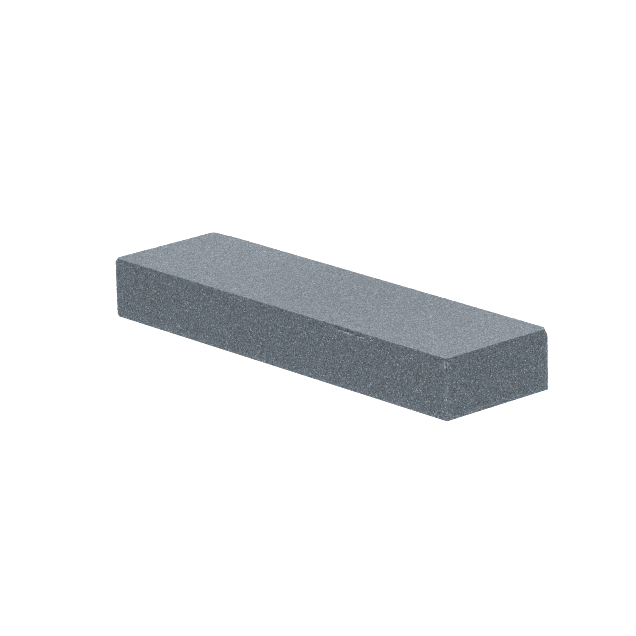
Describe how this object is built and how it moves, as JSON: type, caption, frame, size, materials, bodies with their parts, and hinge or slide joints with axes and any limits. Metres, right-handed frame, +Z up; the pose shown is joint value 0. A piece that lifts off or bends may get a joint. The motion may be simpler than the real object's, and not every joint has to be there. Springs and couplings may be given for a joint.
{
  "type": "sharpening whetstone",
  "caption": "Plain rectangular bench whetstone: a solid block of bonded silicon carbide grit, flat on both large faces, with worn corners and a chipped edge.",
  "frame": {"origin": "centre of the bottom face", "axes": "+Z up, out of the honing face; +X along the length, towards the end with the chipped top corner; +Y across the width, away from the side with the flaked edge"},
  "size_m": [0.15, 0.0412, 0.0191],
  "materials": {
    "bonded_grit": "matt, open-grained fired silicon carbide grit in grey with a slight blue cast"
  },
  "bodies": {
    "root": {"stone_block": "bonded_grit"}
  },
  "joints": []
}
